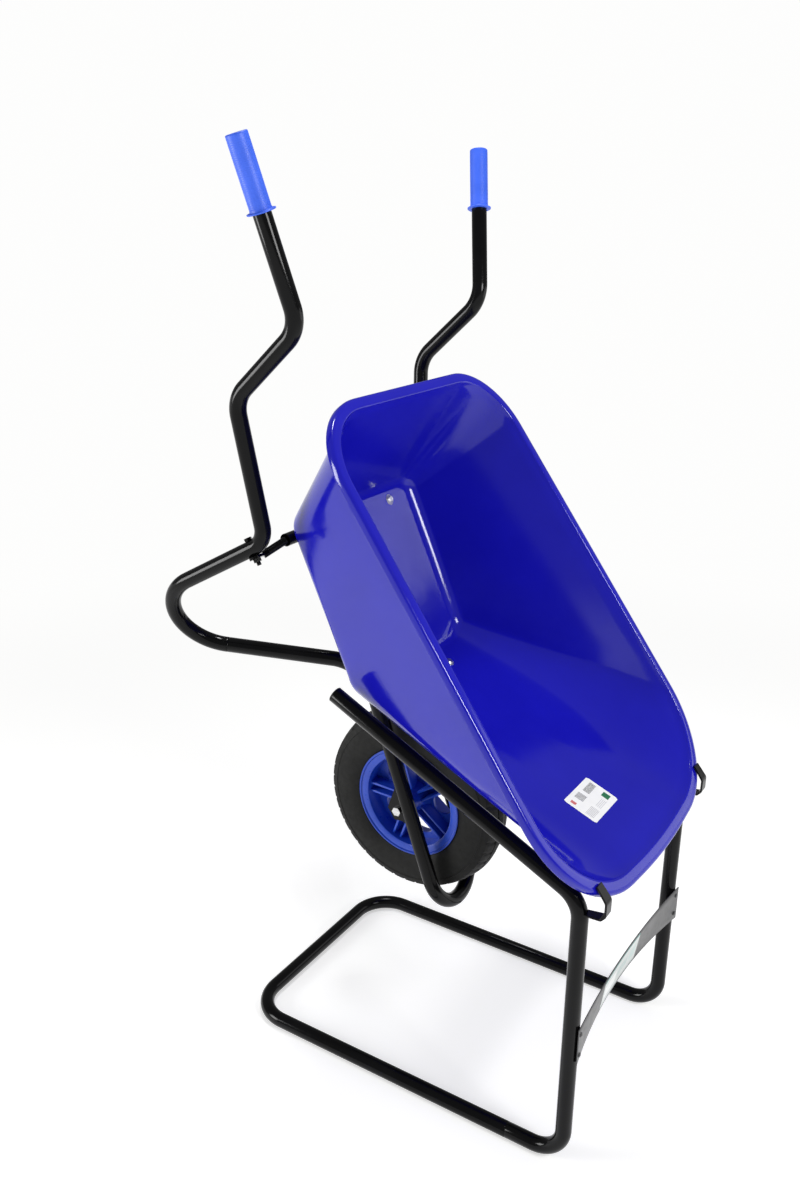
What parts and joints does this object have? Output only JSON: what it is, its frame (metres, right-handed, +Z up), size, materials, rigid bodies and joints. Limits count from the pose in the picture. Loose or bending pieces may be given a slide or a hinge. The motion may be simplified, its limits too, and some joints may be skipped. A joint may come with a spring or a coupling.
{
  "type": "wheelbarrow on storage stand",
  "caption": "Blue plastic-tray wheelbarrow with a black tube chassis and one pneumatic wheel, hung nose down on a bent-tube storage stand.",
  "frame": {"origin": "on the floor under the middle of the object's box", "axes": "+X towards the nose of the barrow and the stand's posts, +Y to the left, +Z up"},
  "size_m": [0.9402, 0.7694, 1.7549],
  "materials": {
    "tube_black": "gloss black powder coat",
    "tray_blue": "moulded ultramarine polyethylene, satin to gloss",
    "grip_blue": "soft blue grip",
    "rim_blue": "moulded blue",
    "tyre_black": "matt black rubber",
    "tube_rubber": "matt butyl",
    "zinc": "zinc plated",
    "bearing_steel": "ground steel",
    "plug_black": "matt",
    "band_grey": "semi gloss grey",
    "label_white": "printed film"
  },
  "bodies": {
    "stand": {"stand_floor_loop": "tube_black", "stand_upright_left": "tube_black", "stand_upright_right": "tube_black", "stand_joint_sleeves": "zinc", "stand_end_caps": "plug_black", "rim_hook_left": "tube_black", "rim_hook_right": "tube_black", "name_band": "band_grey", "name_label": "label_white", "band_screws": "zinc"},
    "barrow": {"handle_tube_left": "tube_black", "handle_tube_right": "tube_black", "front_fork_tube": "tube_black", "leg_joint_sleeves": "zinc", "rear_cross_tube": "tube_black", "cross_tube_bolts": "zinc", "cross_tube_nuts": "zinc", "front_cross_bar": "tube_black", "axle_bracket_left": "tube_black", "axle_bracket_right": "tube_black", "axle_bolt": "zinc", "axle_nut": "zinc", "axle_spacers": "zinc", "tray": "tray_blue", "tray_bolts": "zinc", "tray_washers": "zinc", "tray_nuts": "zinc", "tray_sticker": "label_white", "grip_left": "grip_blue", "grip_right": "grip_blue"},
    "wheel": {"tyre": "tyre_black", "inner_tube": "tube_rubber", "rim_barrel": "rim_blue", "wheel_spokes": "rim_blue", "tyre_valve": "tube_rubber", "wheel_bearings": "bearing_steel"}
  },
  "joints": [
    {"name": "barrow_lift", "type": "slide", "parent": "stand", "child": "barrow", "axis": [-0.8951, 0, 0.4458], "range_m": [0, 0.4]},
    {"name": "wheel_spin", "type": "hinge", "parent": "barrow", "child": "wheel", "pos_m": [-0.0578, 0, 0.5037], "axis": [0, 1, 0], "continuous": true}
  ]
}
